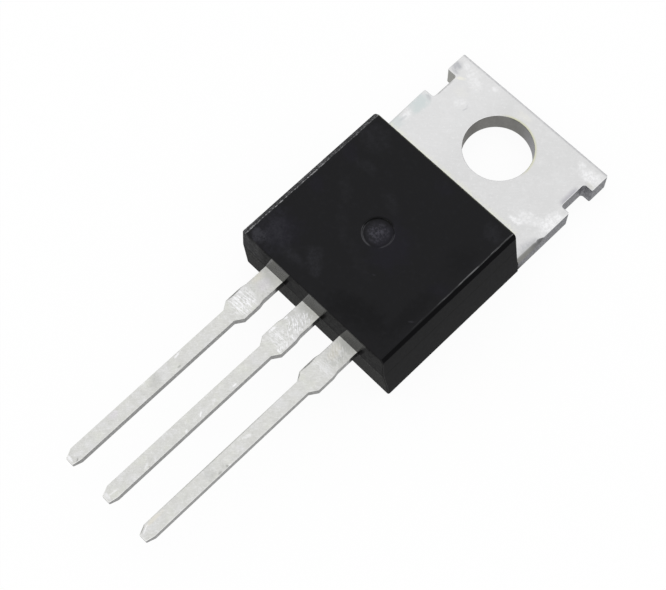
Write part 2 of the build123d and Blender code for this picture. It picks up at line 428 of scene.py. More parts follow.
LEAD_SCRATCHED_ASLANT = (
    ((0.1, -14.3), (0.5, 0.85), 0, 1.0),
    ((0.45, -15.6), (0.25, 0.5), 0, 0.9),
    ((-2.3, -15.3), (0.3, 0.5), 0, 0.5),
    ((2.55, -14.0), (0.6, 0.7), 0, 0.35),
)
LEAD_BLOTCHED = (
    ((0.05, -14.9), (0.75, 1.1), 0, 0.6),
    ((2.55, -14.6), (0.6, 0.9), 0, 0.4),
    ((-2.6, -14.9), (0.6, 0.6), 0, 0.5),
)
LEAD_STROKES = (
    ((-2.52, -15.7), (0.62, 0.04), 4, 0.9),
    ((-2.6, -15.47), (0.4, 0.03), 4, 0.5),
    ((-2.6, -15.25), (0.45, 0.035), 3, 0.6),
    ((-2.65, -15.02), (0.4, 0.03), 2, 0.6),
    ((-2.75, -14.72), (0.35, 0.03), 2, 0.4),
    ((-3.15, -15.3), (0.03, 0.45), 0, 0.8),
    ((0.0, -15.3), (0.55, 0.03), 6, 0.8),
    ((-0.55, -15.25), (0.08, 0.3), 0, 0.8),
    ((-0.5, -14.4), (0.06, 0.12), 0, 0.8),
    ((0.15, -13.86), (0.12, 0.04), -10, 0.6),
    ((0.1, -14.02), (0.16, 0.03), -25, 0.6),
    ((0.16, -14.46), (0.2, 0.035), -40, 0.8),
    ((0.45, -14.9), (0.12, 0.05), -20, 0.9),
    ((2.5, -14.72), (0.5, 0.03), 4, 0.3),
    ((2.4, -14.92), (0.4, 0.03), 25, 0.4),
    ((-2.8, -19.4), (0.06, 0.24), 12, 0.7),    # specks
    ((-2.9, -21.5), (0.05, 0.14), 0, 0.6),
    ((0.22, -18.5), (0.05, 0.16), 0, 0.8),
    ((0.1, -19.7), (0.1, 0.14), 30, 0.35),
    ((0.15, -20.6), (0.05, 0.16), 35, 0.8),
    ((0.28, -21.62), (0.06, 0.1), 20, 0.6),
    ((0.2, -24.05), (0.07, 0.18), 20, 0.35),
    ((2.45, -19.8), (0.09, 0.25), -20, 0.4),
    ((2.9, -21.3), (0.06, 0.09), 0, 0.7),
    ((0.05, -26.0), (0.05, 0.35), -8, 0.4),    # tips
    ((2.37, -26.1), (0.035, 0.27), 20, 0.7),
    ((-2.62, -26.34), (0.22, 0.07), -5, 1.0),
    ((-0.05, -26.3), (0.26, 0.1), 0, 0.6),
)
LEAD_OUTLINE = (
    ((2.16, -21.3), (0.06, 4.8), 0, 0.7),      # left edges: painted shade on the edges rolled by the punch
    ((-3.2, -15.35), (0.09, 0.55), 0, 1.2),
    ((1.88, -15.3), (0.09, 0.6), 0, 1.2),
    ((2.02, -16.05), (0.06, 0.25), 32, 0.9),
    ((2.25, -26.2), (0.05, 0.3), 20, 0.9),     # tips
    ((2.54, -26.46), (0.4, 0.04), 0, 0.9),
    ((0.0, -26.46), (0.4, 0.04), 0, 0.8),
    ((-2.54, -26.46), (0.4, 0.04), 0, 0.7),
    ((-2.25, -26.2), (0.05, 0.2), 30, 0.6),
)

EPOXY_SCUFFED = (
    ((-3.95, -12.8), (0.5, 0.4), 0, 1.5),       # front left corner
    ((-3.6, -12.1), (1.1, 0.9), -30, 0.5),
    ((-1.1, -11.9), (0.9, 0.5), -35, 0.4),
    ((-2.3, -12.4), (1.2, 0.4), 0, 0.3),
    ((-2.9, -6.6), (0.6, 0.35), 10, 0.25),
    ((-2.75, -8.2), (0.8, 0.35), -40, 0.14),
    ((-1.5, -9.6), (1.2, 0.3), -40, 0.1),
    ((0.4, -10.4), (1.3, 0.35), -20, 0.1),
    ((-0.6, -7.2), (0.7, 0.4), -20, 0.2),
    ((3.9, -4.9), (0.7, 0.4), -20, 0.3),
    ((-3.6, -5.2), (0.9, 0.8), 0, 0.25),
    ((4.3, -10.85), (0.16, 0.05), 40, 0.7),
    ((1.4, -10.4), (0.12, 0.05), 30, 0.6),
)
EPOXY_BLUISH = (
    ((0.8, -8.8), (1.2, 1.4), 40, 0.7),
    ((-3.4, -12.0), (1.1, 1.2), 0, 0.8),
    ((-4.0, -6.6), (0.6, 0.4), -40, 0.5),
    ((-3.9, -9.0), (0.6, 0.4), -40, 0.5),
    ((4.1, -8.8), (0.6, 0.4), 40, 0.4),
    ((0.6, -4.8), (0.6, 0.4), 0, 0.4),
)
EPOXY_SHADED = (
    ((2.3, -12.3), (1.8, 0.8), 10, 0.9),
    ((4.0, -10.6), (0.5, 2.2), 0, 0.7),
    ((3.8, -7.0), (0.7, 1.0), 0, 0.5),
)

# ---- Materials --------------------------------------------------------------
def tab_finish(metal):
    """Tinned sheet of the tab: worn faces, rolled edges with painted shade and highlight, and
    stamped sides darkened partly by painted shade.
    """
    f = SurfaceFinish("tinned tab", mottle_scale=2.6, grain_scale=7.0)
    side = f.fade(abs(f.nz), 0.55, 0.3)
    rolled = f.fade(abs(f.nz), 0.97, 0.85) * (1 - side)
    from_hole = (f.x * f.x + f.y * f.y) ** 0.5
    clouds = f.noise(f.place, 0.55, 4.0, 0.6)
    edge = f.ragged(2.4, 6.0, 0.75, 2.2)

    face = tab_face(f, metal, clouds, edge)
    face = tab_rims(f, face, from_hole, edge)
    # Painted shade on the rolled edges that face the far end and the left; painted highlight on
    # those that face right.
    face = f.mix(rolled * f.fade(f.ny, 0.2, 0.5), face, linear(150, 150, 152))
    left_edge_shade = rolled * f.fade(f.nx, -0.2, -0.5) * f.fade(f.x, -4.7, -4.6)
    face = f.mix(left_edge_shade * 0.7, face, linear(140, 140, 142))
    face = f.mix(rolled * f.fade(f.nx, 0.2, 0.5), face, linear(250, 250, 250))
    # The sides' colour is darker partly as sheared metal, partly as painted shade.
    stamped_and_shaded = tab_sides(f, metal, clouds, from_hole, edge)

    relief = f.mottle * 0.4 + f.grain * 0.4 + f.grain * side * 0.8
    return f.done(f.shade(
        Base_Color=f.mix(side, face, stamped_and_shaded),
        Metallic=1.0,
        Roughness=metal.roughness + (f.mottle - 0.5) * 0.2 + side * 0.2,
        Normal=f.bump(relief, 0.006 * MM, 0.6),
    ))


def tab_face(f, metal, clouds, edge):
    """Colour of the tab's faces: clouds, grain, the marks of handling, and painted highlights at
    the two notch corners.
    """
    rubbed = f.marks(edge, TAB_RUBBED)
    smeared = f.marks(edge * 0.6, TAB_SMEARED)
    bluish = f.marks(edge, TAB_BLUISH)
    cream_and_highlights = f.marks(edge, TAB_CREAM_AND_HIGHLIGHTS)
    face = f.mix(f.fade(clouds, 0.35, 0.65) * 0.06, metal.tab_colour, metal.tab_worn)
    face = f.mix(f.fade(f.mottle, 0.45, 0.75) * 0.2, face, metal.tab_worn)
    face = f.mix(f.fade(f.grain, 0.42, 0.25) * 0.25, face, metal.tab_dull)
    face = f.mix(f.fade(f.grain, 0.55, 0.75) * 0.35, face, metal.tab_worn)
    face = f.mix(f.fade(f.streaks(42, 0.6, 0.05), 0.55, 0.7) * 0.15, face, metal.tab_worn)
    face = f.mix(f.fade(f.x, -1.0, -2.5) * 0.15, face, metal.tab_worn)
    face = f.mix(bluish * 0.8, face, linear(193, 202, 202))
    face = f.mix(cream_and_highlights * 0.7, face, linear(232, 230, 216))
    face = f.mix(rubbed * (0.4 + f.fade(f.grain, 0.4, 0.6) * 0.6), face, metal.tab_worn)
    return f.mix(smeared * (0.6 + f.fade(f.grain, 0.4, 0.6) * 0.4), face, metal.tab_dull)


def tab_rims(f, face, from_hole, edge):
    """The faces' colour with that of the rims: painted shade at the notches, beside the broken
    edge and along the far end; tints at the hole and beside the body.
    """
    x, y, grain = f.x, f.y, f.grain
    # Painted shade along the rounded edges of the notches.
    left_notch_shade = f.fade(x, -4.25, -4.36) * f.band(y, 0.2, 1.0, 0.3) * f.fade(grain, 0.3, 0.55)
    face = f.mix(left_notch_shade * 0.7, face, linear(150, 150, 150))
    right_notch_shade = f.fade(x, 4.1, 4.42) * f.band(y, 0.15, 0.9, 0.4)
    face = f.mix(right_notch_shade * 0.6, face, linear(148, 146, 156))
    # Painted shade beside the broken right edge.
    broken_edge_shade = f.fade(x, 4.62, 4.9) * f.fade(y, -2.2, -2.6) * (0.3 + grain * 0.7)
    face = f.mix(broken_edge_shade * 0.6, face, linear(158, 158, 157))
    hole_rim = f.fade(from_hole, 2.02, 1.86) * f.fade(x * 0.6 + y, 0.6, 1.5)
    face = f.mix(hole_rim * (0.35 + grain * 0.7), face, linear(198, 198, 162))
    beside_body = f.fade(y, -2.6, -2.95) * f.fade(x, 4.1, 3.7) * f.fade(grain, 0.4, 0.6) * 0.35
    along_wall = f.marks(edge * 0.1, TAB_ALONG_WALL)
    face = f.mix(beside_body | along_wall, face, linear(226, 228, 190))
    # Painted shade along the far edge.
    far_edge_shade = f.fade(y + (f.mottle - 0.5) * 0.06, 2.61, 2.68)
    far_edge_shade = far_edge_shade * (0.25 + f.fade(grain, 0.35, 0.6) * 0.4)
    return f.mix(far_edge_shade, face, linear(168, 168, 171))


def tab_sides(f, metal, clouds, from_hole, edge):
    """Colour of the tab's sides: sandy grain, broken edges, the bore with painted light and shade,
    and a dark strip at the foot beside the body.
    """
    x, y, grain = f.x, f.y, f.grain
    colour = f.mix(f.fade(grain, 0.4, 0.7) * 0.5, metal.tab_side, metal.tab_dull)
    colour = f.mix(f.fade(clouds, 0.4, 0.7) * 0.3, colour, linear(88, 88, 92))
    sandy = f.noise(f.place, 9.0, 3.0, 0.8)
    colour = f.mix(f.fade(sandy, 0.5, 0.62) * 0.6, colour, linear(158, 158, 162))
    colour = f.mix(f.fade(sandy, 0.5, 0.38) * 0.6, colour, linear(78, 78, 82))
    left_side = f.fade(x, -4.3, -4.5) * f.fade(f.ny, -0.5, -0.9)
    colour = f.mix(left_side, colour, linear(162, 162, 157))
    broken = f.fade(y, -2.0, -2.1) * f.fade(f.z, 0.8, 0.95) * f.fade(abs(x), 4.7, 4.8)
    broken_colour = f.mix(f.fade(y, -2.3, -3.1), linear(116, 116, 117), linear(142, 142, 138))
    colour = f.mix(broken * (0.5 + grain), colour, broken_colour)
    bore = f.mix(f.streaks(0, 0.3, 0.3), metal.bore_colour, linear(112, 111, 108))
    # Painted light and shade on the bore wall: lighter towards +X, darker towards the lower left.
    bore = f.mix(f.fade(x, -0.4, 1.3) * 0.8, bore, linear(150, 150, 155))
    bore = f.mix(f.fade(x + y, -0.6, -2.0) * 0.75, bore, linear(92, 90, 86))
    colour = f.mix(f.fade(from_hole, 2.0, 1.9), colour, bore)
    # Dark towards the foot of the sides, next to the body.
    dark_foot_by_body = f.fade(y, -3.35, -3.75) * f.fade(f.z + edge * 0.2, 0.55, 0.3)
    return f.mix(dark_foot_by_body, colour, linear(34, 34, 34))


def lead_finish(metal):
    """Tinned strip of the leads: grained faces, scratched shoulders, sides darkened partly by
    painted shade, painted shade and highlight on the rolled edges, and painted shade at each
    root's side.
    """
    f = SurfaceFinish("tinned lead", mottle_scale=3.0, grain_scale=7.5)
    side = f.fade(abs(f.nz), 0.5, 0.25)
    rolled = f.fade(abs(f.nz), 0.97, 0.85) * (1 - side)
    clouds = f.noise(f.place, 1.1, 3.0, 0.6)
    edge = f.ragged(4.0, 5.0, 0.7, 1.6)
    fine_edge = f.ragged(13.0, 3.0, 0.7, 2.4)

    face = lead_face(f, metal, clouds, edge)
    fine = f.fade(f.streaks(6, 0.4, 0.07), 0.47, 0.6)
    slanting = f.fade(f.streaks(-38, 0.25, 0.06), 0.48, 0.6)
    face = lead_scratches(f, metal, face, fine, slanting, edge, fine_edge)
    # Painted shade on the rolled edges that face left; painted highlight on those that face the
    # front.
    face = f.mix(rolled * f.fade(f.nx, -0.2, -0.5) * 0.7, face, linear(128, 128, 128))
    face = f.mix(rolled * f.fade(f.ny, 0.1, -0.4), face, linear(246, 246, 244))
    # The sides' colour is darker partly as sheared metal, partly as painted shade.
    stamped_and_shaded = f.mix(f.fade(f.grain, 0.4, 0.75) * 0.4, metal.lead_side, metal.lead_colour)
    stamped_and_shaded = f.mix(f.fade(f.mottle, 0.5, 0.3) * 0.4, stamped_and_shaded, linear(84, 84, 84))

    shoulder = f.band(f.y, -16.1, -13.9, 0.2)
    climb = (f.y + 14.2) | 0.0      # the tin rises a little where the lead meets the body
    relief = f.mottle * 0.5 + f.grain * 0.4 + (fine | slanting) * shoulder * 0.6
    relief = relief + climb * climb * 35.0
    tinned = f.shade(
        Base_Color=f.mix(side, face, stamped_and_shaded),
        Metallic=1.0,
        Roughness=metal.roughness + (f.mottle - 0.5) * 0.2,
        Normal=f.bump(relief, 0.005 * MM, 0.6),
    )
    # Painted shade: the right side of each lead next to the body turns to a dark matt shader.
    painted_root_shade = f.shade(Base_Color=linear(8, 8, 8), Roughness=0.6, Specular_IOR_Level=0.0)
    shaded_root_side = f.fade(f.nx, 0.3, 0.6) * f.fade(f.y, -13.85, -13.65) * 0.9
    return f.done(f.mix_shaders(shaded_root_side, tinned, painted_root_shade))


def lead_face(f, metal, clouds, edge):
    """Colour of the leads' faces: clouds, grain, stains and painted shade near the body."""
    face = f.mix(f.fade(f.mottle, 0.55, 0.3) * 0.15, metal.lead_colour, metal.lead_dull)
    face = f.mix(f.fade(f.mottle, 0.55, 0.75) * 0.2, face, metal.tab_worn)
    face = f.mix(f.fade(f.grain, 0.45, 0.25) * 0.35, face, metal.lead_dull)
    face = f.mix(f.fade(f.grain, 0.52, 0.72) * 0.4, face, metal.tab_worn)
    face = f.mix(f.fade(clouds, 0.5, 0.7) * 0.3, face, linear(220, 220, 224))
    face = f.mix(f.fade(clouds, 0.5, 0.3) * 0.3, face, linear(214, 216, 204))
    face = f.mix(f.fade(f.streaks(50, 0.3, 0.05), 0.5, 0.68) * 0.2, face, metal.lead_bright)
    # Painted shade: darker towards the body.
    face = f.mix(f.fade(f.y, -13.9, -13.3) * 0.45, face, linear(170, 170, 163))
    face = f.mix(f.marks(edge, LEAD_DULL_AND_ROOT_SHADE), face, metal.lead_dull)
    face = f.mix(f.marks(edge, LEAD_WARM) * 0.5, face, linear(222, 216, 200))
    return f.mix(f.marks(edge, LEAD_PURPLISH) * 0.5, face, linear(214, 208, 220))


def lead_scratches(f, metal, face, fine, slanting, edge, fine_edge):
    """The faces' colour with the scratches that the trimming tool left on the shoulders, and dark
    lines: painted shade along the left edges, and at the tips.
    """
    blotches = f.noise(f.local(turn=-25, scale=(1.8, 0.6, 1.0)), 7.0, 3.0, 0.7)
    blotches = f.fade(blotches, 0.5, 0.65)
    across = f.marks(edge, LEAD_SCRATCHED_ACROSS)
    aslant = f.marks(edge, LEAD_SCRATCHED_ASLANT)
    blotched = f.marks(edge, LEAD_BLOTCHED)
    strokes = f.marks(fine_edge, LEAD_STROKES)
    # Dark lines: painted shade along the left edges, and dark lines at the tips.
    outline = f.marks(fine_edge * 0.3, LEAD_OUTLINE)
    scratches = any_of([fine * across, slanting * aslant, blotches * blotched * 0.9, strokes])
    face = f.mix(scratches, face, metal.lead_bright)
    valleys = f.fade(f.grain, 0.5, 0.3) * any_of([across, aslant, blotched])
    face = f.mix(valleys * 0.6, face, metal.lead_dull)
    return f.mix(outline, face, linear(120, 120, 118))


def epoxy_finish(epoxy):
    """Black moulding compound: scuffed top, smooth walls, one bevel in painted shade and one
    rubbed pale, and the front wall's painted reflections of the leads.
    """
    f = SurfaceFinish("black epoxy", mottle_scale=3.5, grain_scale=13.0)
    top = f.fade(f.nz, 0.8, 0.97)
    edge = f.ragged(1.8, 6.0, 0.75, 2.2)

    colour = epoxy_top(f, epoxy, top, edge)
    colour = epoxy_mark(f, colour, top, edge)
    colour = epoxy_edges(f, epoxy, colour)
    colour, lead_reflection_strips = epoxy_front(f, epoxy, colour)

    satin = f.shade(
        Base_Color=colour,
        Roughness=0.44 + (f.mottle - 0.5) * 0.15,
        Specular_IOR_Level=0.10,
        Normal=f.bump(f.mottle * 0.4 + f.grain * 0.6, 0.005 * MM, 0.5),
    )
    matt = f.shade(Base_Color=colour, Roughness=0.6, Specular_IOR_Level=0.0)
    # Shader of the strips: glossier, with a paler greenish base colour painted in as the leads'
    # reflection.
    glossy = f.shade(
        Base_Color=f.mix(f.fade(f.grain, 0.45, 0.65) * 0.5, colour, linear(66, 66, 58)),
        Roughness=0.25 + (f.mottle - 0.5) * 0.3,
        Specular_IOR_Level=0.22,
        Normal=f.bump(f.mottle * 0.4 + f.grain * 0.6, 0.01 * MM, 0.7),
    )
    # Painted shade: the right bevel turns to a dark shader with no gloss.
    shaded_bevel = f.shade(Base_Color=epoxy.bevel_shade_colour, Roughness=0.6, Specular_IOR_Level=0.0)
    right_bevel = f.fade(f.nx, 0.35, 0.5) * f.fade(f.nx, 0.95, 0.9)
    right_bevel = right_bevel * f.fade(f.x, RIGHT_TOP_EDGE - 0.05, RIGHT_TOP_EDGE)
    right_bevel = right_bevel * f.fade(f.y, -13.22, -13.12) * f.fade(f.z, 4.05, 4.15)
    matt_walls = any_of([
        f.fade(f.nx, 0.9, 0.98) * 0.75,
        f.fade(f.ny, -0.3, -0.7) * 0.82,
        f.fade(f.nx, -0.15, -0.4) * 0.95,
    ])
    shader = f.mix_shaders(matt_walls, satin, matt)
    shader = f.mix_shaders(lead_reflection_strips * (0.85 - f.x * 0.06), shader, glossy)
    return f.done(f.mix_shaders(right_bevel, shader, shaded_bevel))


def epoxy_top(f, epoxy, top, edge):
    """Colour of the walls and of the top face, which is tinted, shaded and scuffed."""
    scuffs = f.marks(edge, EPOXY_SCUFFED)
    bluish = f.marks(edge, EPOXY_BLUISH)
    shaded = f.marks(edge, EPOXY_SHADED)
    colour = f.mix(top, epoxy.wall_colour, epoxy.top_colour)
    colour = f.mix(shaded * top * 0.9, colour, linear(12, 12, 14))
    colour = f.mix(bluish * top * 0.6, colour, linear(27, 25, 36))
    colour = f.mix(f.fade(f.mottle, 0.5, 0.75) * top * 0.1, colour, epoxy.top_scuffed)
    dusty = f.fade(f.grain, 0.3, 0.65) * 0.6 + f.fade(f.mottle, 0.35, 0.6) * 0.5
    return f.mix(scuffs * top * dusty, colour, epoxy.top_scuffed)


def epoxy_mark(f, colour, top, edge):
    """The colour with the round mark's: a mottled pale floor, and a rim with painted highlight at
    the lower left and the right and painted shade at the upper left.
    """
    across = f.x - MARK_CENTRE[0]
    along = f.y - MARK_CENTRE[1]
    reach = (across * across + along * along) ** 0.5
    floor = f.fade(reach, MARK_RADIUS, MARK_RADIUS - 0.06) * top
    blotches = f.noise(f.place, 5.5, 4.0, 0.8)
    pale = (0.2 + f.fade(blotches, 0.45, 0.6) * 0.8) * f.fade(reach + edge * 0.15, 0.7, 0.3)
    colour = f.mix(floor * pale * 0.5, colour, linear(84, 83, 92))
    rim = f.band(reach, MARK_RADIUS - 0.07, MARK_RADIUS, 0.03)
    # Painted highlight on the rim at the lower left and the right, painted shade at the upper
    # left.
    lower_left_rim_highlight = rim * f.fade(across + along, -0.45, -0.75)
    right = rim * f.fade(across, 0.55, 0.7) * 0.6
    # Here rubbed is the painted highlight on the rim.
    rubbed = (lower_left_rim_highlight | right) * top * (0.1 + f.mottle * 0.6)
    colour = f.mix(rubbed, colour, linear(104, 104, 108))
    upper_left_rim_shade = f.band(reach, MARK_RADIUS - 0.06, MARK_RADIUS + 0.04, 0.03)
    upper_left_rim_shade = upper_left_rim_shade * f.fade(along - across, 0.35, 0.7)
    return f.mix(upper_left_rim_shade * 0.85, colour, linear(6, 6, 7))


def epoxy_edges(f, epoxy, colour):
    """The colour with the top edges': a pale scratched line on the left that is rubbed wear and
    painted highlight, a painted highlight line on the right, and a thin pale line at the rear.
    """
    sparkle = f.fade(f.noise(f.place, 8.0, 3.0, 0.75), 0.45, 0.62)
    line = f.fade(f.streaks(90, 0.9, 0.06), 0.42, 0.58)
    # Pale scratched line along the left top edge: rubbed wear and painted highlight.
    left_wear_and_highlight = f.band(f.x + (f.mottle - 0.5) * 0.1, LEFT_TOP_EDGE - 0.03, LEFT_TOP_EDGE, 0.03)
    left_wear_and_highlight = left_wear_and_highlight * f.fade(f.nz, 0.5, 0.7)
    most_worn = f.band(f.y, -12.7, -7.8, 0.8)
    worn = 0.1 + sparkle * (0.3 + most_worn * 0.45)
    colour = f.mix(left_wear_and_highlight * worn, colour, epoxy.rubbed_and_highlight_colour)
    left_bevel = f.fade(f.x, LEFT_TOP_EDGE, LEFT_TOP_EDGE - 0.06) * f.fade(f.nz, 0.1, 0.3)
    worn = 0.07 + sparkle * line * (0.3 + most_worn * 0.1)
    colour = f.mix(left_bevel * worn, colour, epoxy.rubbed_and_highlight_colour)
    # Painted highlight: a thin pale line along the right top edge.
    right_highlight = f.band(f.x, RIGHT_TOP_EDGE - 0.04, RIGHT_TOP_EDGE, 0.02)
    right_highlight = right_highlight * f.fade(f.y, -12.5, -6.0) * f.fade(f.nz, 0.6, 0.75)
    colour = f.mix(right_highlight * (0.05 + line * 0.28), colour, epoxy.rubbed_and_highlight_colour)
    rear_line = f.fade(f.y, REAR_TOP_EDGE - 0.06, REAR_TOP_EDGE) * f.fade(f.nz, 0.3, 0.6)
    return f.mix(rear_line * (0.1 + sparkle * 0.3), colour, linear(150, 150, 130))


def epoxy_front(f, epoxy, colour):
    """The colour of the front wall, with a painted shadow along the parting line, painted shade
    beside each lead's root, and the strips of the wall's painted reflection of the leads.
    """
    front = f.fade(f.ny, -0.6, -0.9)
    above = f.fade(f.z, PARTING_Z + 0.01, PARTING_Z + 0.05)
    cloudy = f.fade(f.mottle, 0.38, 0.6) * 0.5 + f.fade(f.grain, 0.4, 0.65) * 0.7
    colour = f.mix(front * above * cloudy, colour, linear(52, 52, 52))

    # Slanted glossier strips with a paler base colour are a painted reflection of each lead in the
    # wall; the gap beside each lead's root is painted shade.
    slanted = f.x - (f.z - PARTING_Z) * MIRROR_SLANT
    lead_reflection_strips = 0.0
    for lead_x in LEAD_CENTRES:
        lead_reflection_strips = (f.band(slanted, lead_x - 0.58, lead_x + 0.6, 0.04) * front * above) | lead_reflection_strips
        # Painted shade in the gap beside each lead's root.
        gap_shade = f.band(slanted, lead_x + 0.64, lead_x + 0.78, 0.05) * front
        gap_shade = gap_shade * f.band(f.z, 2.2, 3.4, 0.7)
        colour = f.mix(gap_shade * 0.95, colour, linear(4, 4, 4))

    below = front * f.fade(f.z, PARTING_Z - 0.03, PARTING_Z - 0.09)
    colour = f.mix(below * (0.1 + f.fade(f.grain, 0.35, 0.65) * 0.9), colour, linear(64, 64, 63))
    flecks = f.fade(f.noise(f.place, 8.0, 2.0, 0.6), 0.62, 0.74) * f.fade(f.z, 2.2, 2.5)
    colour = f.mix(below * flecks * 0.6, colour, epoxy.rubbed_and_highlight_colour)
    # Painted shadow: a dark line along the parting line.
    parting = f.band(f.z, PARTING_Z - 0.05, PARTING_Z + 0.01, 0.02) * f.fade(f.nz, 0.5, 0.2)
    colour = f.mix(parting * 0.9, colour, linear(6, 6, 6))
    corner = f.fade(f.ny, -0.3, -0.8) * f.fade(f.x, -3.1, -3.8) * f.fade(f.z, 2.7, 2.9)
    corner = corner * (0.3 + f.fade(f.mottle, 0.4, 0.65) * 0.7)
    return f.mix(corner, colour, linear(70, 70, 71)), lead_reflection_strips


def sealed_finish(name, tint, roughness, metallic=1.0):
    """Finish of a piece sealed in the body: fine mottling over one tint."""
    f = Finish(name)
    place = f.millimetres()
    mottle = f.noise(place, 6.0)
    darker = tuple(0.7 * part for part in tint[:3]) + (1.0,)
    return f.done(f.shade(
        Base_Color=f.mix(mottle, darker, tint),
        Metallic=metallic,
        Roughness=roughness + (mottle - 0.5) * 0.2,
        Normal=f.bump(f.noise(place, 20.0), 0.002 * MM, 0.5),
    ))


# ---- Shaping pieces ---------------------------------------------------------
def merged_copy(node_name):
    """A CAD node's skin with its loose triangles joined into flat faces."""
    skin = bmesh.new()
    skin.from_mesh(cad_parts[node_name].data)
    bmesh.ops.remove_doubles(skin, verts=skin.verts, dist=CLOSE)
    bmesh.ops.dissolve_limit(skin, angle_limit=FLAT_ANGLE, verts=skin.verts, edges=skin.edges)
    return skin


def smooth_ring(skin, centre, radius):
    """Gives an upright round wall more facets, each new corner pushed out to the radius."""
    def offset(vertex):
        return Vector((vertex.co.x - centre[0], vertex.co.y - centre[1]))

    ring = [
        edge for edge in skin.edges
        if abs(edge.verts[0].co.z - edge.verts[1].co.z) < CLOSE
        and all(abs(offset(v).length - radius) < 10 * CLOSE for v in edge.verts)
    ]
    added = bmesh.ops.subdivide_edges(skin, edges=ring, cuts=RING_CUTS)["geom_inner"]
    for vertex in added:
        if isinstance(vertex, bmesh.types.BMVert):
            outward = offset(vertex).normalized() * radius
            vertex.co.x = centre[0] + outward.x
            vertex.co.y = centre[1] + outward.y


def split_across(skin, y):
    """Cuts the skin's faces across at a place along Y."""
    geometry = skin.verts[:] + skin.edges[:] + skin.faces[:]
    bmesh.ops.bisect_plane(skin, geom=geometry, dist=CLOSE, plane_co=(0, y, 0), plane_no=(0, 1, 0))


def is_in_break(co, side):
    """True in the top corner of the tab's side, 1 or -1, where the edge is broken."""
    return co.x * side >= TAB_HALF_WIDTH - BREAK_WIDTH and co.z >= TAB_TOP - BREAK_DEPTH


def taper_broken_edge(skin, side, end_y, run, torn=()):
    """Draws the square end of a broken edge out, nearly to nothing, towards the tab's far end.

    The side is 1 or -1. Each torn place is a distance short of the end, with the share of
    its depth that the break keeps there.
    """
    for short_of_end, _ in torn:
        split_across(skin, end_y - short_of_end)
    edge_x = side * TAB_HALF_WIDTH
    for vertex in skin.verts:
        if not is_in_break(vertex.co, side):
            continue
        for short_of_end, depth in ((0.0, BREAK_END_DEPTH), *torn):
            if abs(vertex.co.y - end_y + short_of_end) < CLOSE:
                vertex.co.x = edge_x + (vertex.co.x - edge_x) * depth
                vertex.co.z = TAB_TOP + (vertex.co.z - TAB_TOP) * depth
                vertex.co.y += 0.0 if short_of_end else run
                break


def set_radii(skin, radius_of, widest):
    """Gives each creased edge the radius that it is to be rounded to, as a share of the widest."""
    weights = skin.edges.layers.float.new("bevel_weight_edge")
    for edge in skin.edges:
        if edge.is_manifold and edge.calc_face_angle() > CREASE_ANGLE:
            edge[weights] = radius_of(edge) / widest


def add_piece(name, skin, node_name, materials, widest, is_sharp=lambda edge: False):
    """Makes the skin a round-edged object that stands for a CAD node and rides on the body."""
    for edge in skin.edges:
        creased = edge.is_manifold and edge.calc_face_angle() > CREASE_ANGLE
        edge.smooth = not (creased or is_sharp(edge))
    for face in skin.faces:
        face.smooth = True
    mesh = bpy.data.meshes.new(name)
    skin.to_mesh(mesh)
    skin.free()
    for material in materials:
        mesh.materials.append(material)
    piece = bpy.data.objects.new(name, mesh)
    bpy.context.scene.collection.objects.link(piece)
    bevel = piece.modifiers.new("Round edges", "BEVEL")
    bevel.limit_method = "WEIGHT"
    bevel.width = widest
    bevel.segments = BEVEL_SEGMENTS
    bevel.use_clamp_overlap = False
    bevel.harden_normals = False
    weld = piece.modifiers.new("No slivers", "WELD")
    weld.merge_threshold = CLOSE
    weighted = piece.modifiers.new("Flat faces stay flat", "WEIGHTED_NORMAL")
    weighted.keep_sharp = True
    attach(piece, BODY)
    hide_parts(node_name)


def both(edge, test):
    """True where both ends of an edge pass the test."""
    return all(test(vertex.co) for vertex in edge.verts)


def is_upright(edge):
    """True for an edge that runs along Z."""
    return (edge.verts[0].co - edge.verts[1].co).xy.length < CLOSE


def lead_radius(edge, metal):
    """Radius of an edge of a lead: larger on the upright corners of the dam bar's stubs."""
    if not both(edge, lambda co: co.y < BODY_FRONT):
        return 0.0
    if is_upright(edge) and STUB_END < edge.verts[0].co.y < STUB_START:
        return metal.stub_radius
    return metal.rounding


class REGULATOR_OT_tab(bpy.types.Operator):
    """Tab with the centre lead: edges rounded, faces tinned"""

    bl_idname = "regulator.tab"
    bl_label = "Tab and centre lead"

    def execute(self, context):
        metal = context.scene.regulator_metal
        skin = merged_copy("heatsink_tab")
        smooth_ring(skin, (0.0, 0.0), HOLE_RADIUS)
        taper_broken_edge(skin, -1, LEFT_BREAK_END, LEFT_BREAK_RUN)
        taper_broken_edge(skin, 1, RIGHT_BREAK_END, RIGHT_BREAK_RUN, RIGHT_BREAK_TORN)
        split_across(skin, LEAD_CUT)

        def is_broken(co):
            if co.x < 0:
                return is_in_break(co, -1) and co.y < LEFT_BREAK_END + LEFT_BREAK_RUN + 10 * CLOSE
            return is_in_break(co, 1) and co.y < RIGHT_BREAK_END + RIGHT_BREAK_RUN + 10 * CLOSE

        def radius_of(edge):
            if both(edge, is_broken):
                return 0.0
            on_tab = both(edge, lambda co: co.y > BODY_REAR_TOP)
            at_body = both(edge, lambda co: co.y < BODY_REAR + 0.02 * MM)
            if on_tab and not at_body:
                return metal.rounding * (UPRIGHT_SHARE if is_upright(edge) else 1.0)
            return lead_radius(edge, metal)

        set_radii(skin, radius_of, metal.stub_radius)
        for face in skin.faces:
            face.material_index = int(face.calc_center_median().y < BODY_FRONT)
        add_piece(
            "tab_and_centre_lead", skin, "heatsink_tab",
            [tab_finish(metal), lead_finish(metal)], metal.stub_radius,
        )
        return {"FINISHED"}


